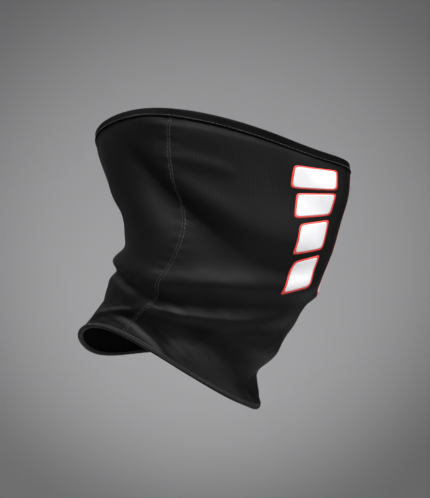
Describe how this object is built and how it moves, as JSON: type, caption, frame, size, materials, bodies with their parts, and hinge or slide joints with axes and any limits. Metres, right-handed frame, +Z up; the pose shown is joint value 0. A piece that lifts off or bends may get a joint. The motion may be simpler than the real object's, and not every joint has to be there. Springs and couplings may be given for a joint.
{
  "type": "neck gaiter",
  "caption": "Lined stretch-fabric neck gaiter in its worn shape, a sewn tube from the neck up over the nose, with folded edge strips and printed cheek bars.",
  "frame": {"origin": "centre of the neck opening, on the line through the middle of the neck hem", "axes": "+Z up along the wearer's body, the wearer faces -Y, and the wearer's right side is -X"},
  "size_m": [0.149, 0.2287, 0.2172],
  "materials": {
    "shell_fabric": "matt fine-knit stretch polyester, near black with a faint grey sheen",
    "brushed_lining": "short brushed fleece, black",
    "edge_strip": "tight knit strip folded over the edge, black",
    "elastic": "covered elastic tape, dark grey",
    "thread": "spun polyester thread, charcoal",
    "print_border": "thin matt screen-print ink, red",
    "print_fill": "thin matt screen-print ink, white",
    "label_tape": "woven satin tape, blank, pale grey"
  },
  "bodies": {
    "root": {"front_shell_panel": "shell_fabric", "back_shell_panel": "shell_fabric", "front_lining_panel": "brushed_lining", "back_lining_panel": "brushed_lining", "top_band_front": "edge_strip", "top_band_back": "edge_strip", "top_elastic_tape": "elastic", "neck_hem_front": "edge_strip", "neck_hem_back": "edge_strip", "right_seam_front_stitch_row": "thread", "right_seam_back_stitch_row": "thread", "right_seam_looper_thread": "thread", "left_seam_front_stitch_row": "thread", "left_seam_back_stitch_row": "thread", "left_seam_looper_thread": "thread", "top_band_stitch_row": "thread", "neck_hem_upper_stitch_row": "thread", "neck_hem_lower_stitch_row": "thread", "right_print_border": "print_border", "right_print_fill": "print_fill", "left_print_border": "print_border", "left_print_fill": "print_fill", "care_label": "label_tape"}
  },
  "joints": []
}
